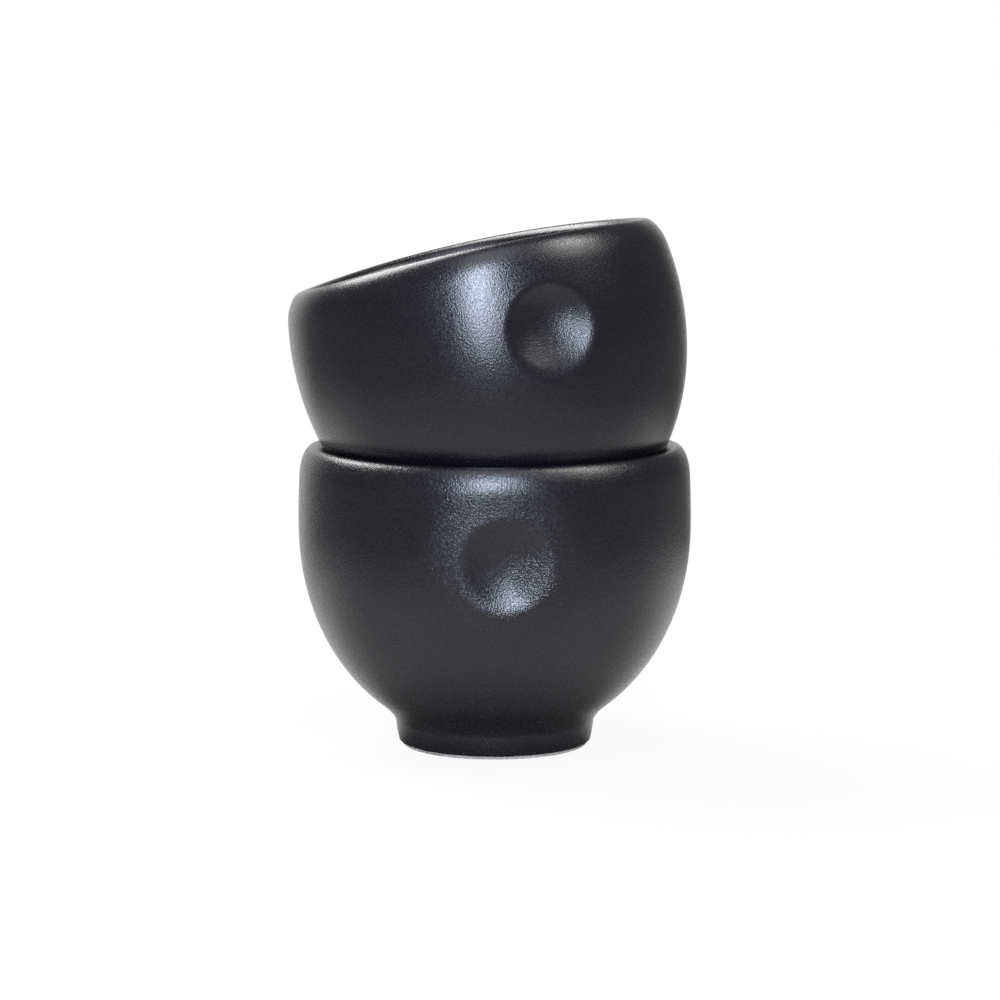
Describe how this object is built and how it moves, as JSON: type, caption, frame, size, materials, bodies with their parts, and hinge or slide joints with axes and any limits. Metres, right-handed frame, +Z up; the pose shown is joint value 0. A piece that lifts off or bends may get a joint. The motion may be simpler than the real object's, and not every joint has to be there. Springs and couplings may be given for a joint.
{
  "type": "stacked espresso cups",
  "caption": "Handleless black-glazed stoneware espresso cups on turned feet, each with a thumb dimple; the upper one lies tilted in the mouth of the lower one and lifts off.",
  "frame": {"origin": "on the table, under the middle of the stack's bounding box", "axes": "+Z up, along the lower cup's axis; the dimples face -Y; the upper cup's rim is high towards +X and low towards -X"},
  "size_m": [0.0776, 0.076, 0.1018],
  "materials": {
    "black_glaze": "satin black glaze with a fine orange-peel grain",
    "bare_clay": "unglazed fired stoneware, matt and slightly gritty"
  },
  "bodies": {
    "lower_cup": {"lower_cup_clay_body": "bare_clay", "lower_cup_glaze_coat": "black_glaze"},
    "upper_cup": {"upper_cup_clay_body": "bare_clay", "upper_cup_glaze_coat": "black_glaze"}
  },
  "joints": [
    {"name": "upper_cup_lift", "type": "slide", "parent": "lower_cup", "child": "upper_cup", "axis": [0, 0, 1], "range_m": [0, 0.06]}
  ]
}
